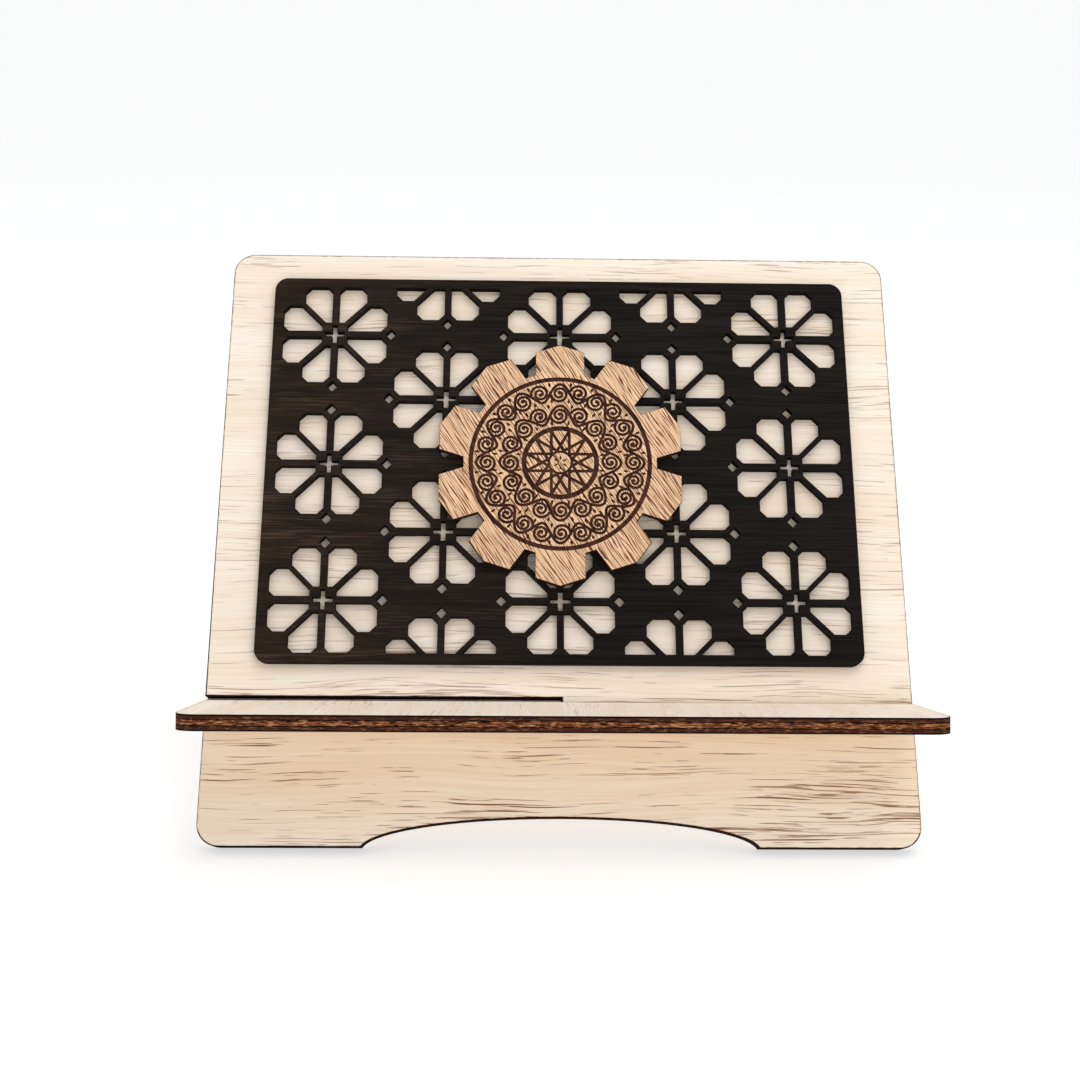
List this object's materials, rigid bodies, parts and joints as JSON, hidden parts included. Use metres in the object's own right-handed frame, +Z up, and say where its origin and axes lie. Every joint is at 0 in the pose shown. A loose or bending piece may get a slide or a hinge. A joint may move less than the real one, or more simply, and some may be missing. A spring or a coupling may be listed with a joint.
{
  "type": "quran stand",
  "caption": "Slotted plywood book stand: a reclining back board with a black fretwork panel and an engraved medallion, and a shelf board that slides out for storage.",
  "frame": {"origin": "on the table, under the middle of the whole stand's box", "axes": "+X across the width, to the right of a reader; the reader sits on the -Y side; +Z up"},
  "size_m": [0.28, 0.1784, 0.2015],
  "materials": {
    "pale_veneer": "bare, sanded, with laser-scorched edges",
    "scorched_core": "laser-scorched cut edge",
    "black_stained_veneer": "matte black stain with the grain showing",
    "black_stained_core": "matte black, scorched",
    "tan_veneer": "bare veneer with dark laser engraving"
  },
  "bodies": {
    "back_board": {"back_board_front_veneer": "pale_veneer", "back_board_core": "scorched_core", "back_board_rear_veneer": "pale_veneer", "fretwork_face_veneer": "black_stained_veneer", "fretwork_core": "black_stained_core", "fretwork_back_veneer": "black_stained_core", "medallion_face_veneer": "tan_veneer", "medallion_core": "scorched_core", "medallion_back_veneer": "scorched_core"},
    "shelf_board": {"shelf_board_top_veneer": "pale_veneer", "shelf_board_core": "scorched_core", "shelf_board_bottom_veneer": "pale_veneer"}
  },
  "joints": [
    {"name": "shelf_slide", "type": "slide", "parent": "back_board", "child": "shelf_board", "axis": [1, 0, 0], "range_m": [-0.14, 0]}
  ]
}
